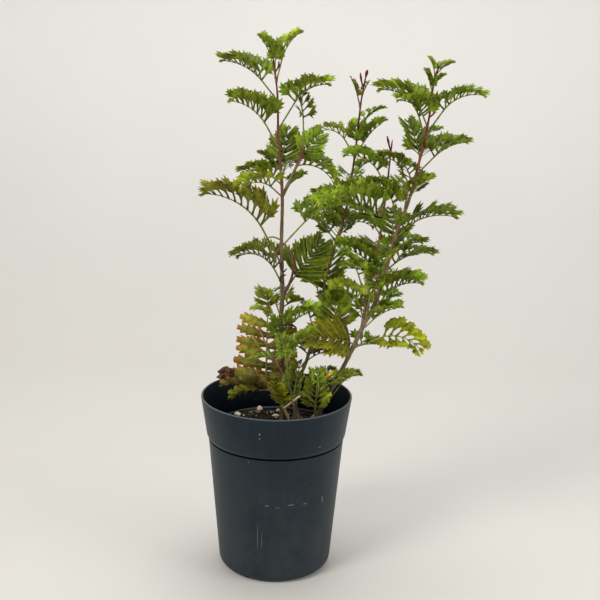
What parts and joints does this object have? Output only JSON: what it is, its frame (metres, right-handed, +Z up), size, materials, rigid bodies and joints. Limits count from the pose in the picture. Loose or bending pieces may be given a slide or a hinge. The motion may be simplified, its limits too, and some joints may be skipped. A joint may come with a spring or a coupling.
{
  "type": "potted grevillea",
  "caption": "Young shrub with arching, fern-like toothed leaves on thin branching stems, growing in a tapered round nursery pot with a collared rim.",
  "frame": {"origin": "on the pot's axis, on the surface that the pot stands on", "axes": "+Z up, +X to the right and +Y away from someone looking at the front, which is the side that the picture shows"},
  "size_m": [0.1792, 0.1096, 0.3711],
  "materials": {
    "pot": "satin",
    "mix": "rough",
    "leaf": "satin",
    "bronze_leaf": "satin",
    "pumice": "rough",
    "bark": "rough"
  },
  "bodies": {
    "root": {"pot": "pot", "potting_mix": "mix", "pumice_1": "pumice", "pumice_2": "pumice", "pumice_3": "pumice", "pumice_4": "pumice", "pumice_5": "pumice", "bark_chip_1": "bark", "bark_chip_2": "bark", "bark_chip_3": "bark", "shoot_left": "leaf", "shoot_middle": "leaf", "shoot_right": "leaf", "shoot_bronze": "bronze_leaf", "shoot_young": "leaf", "shoot_centre": "leaf", "shoot_front": "leaf"}
  },
  "joints": []
}
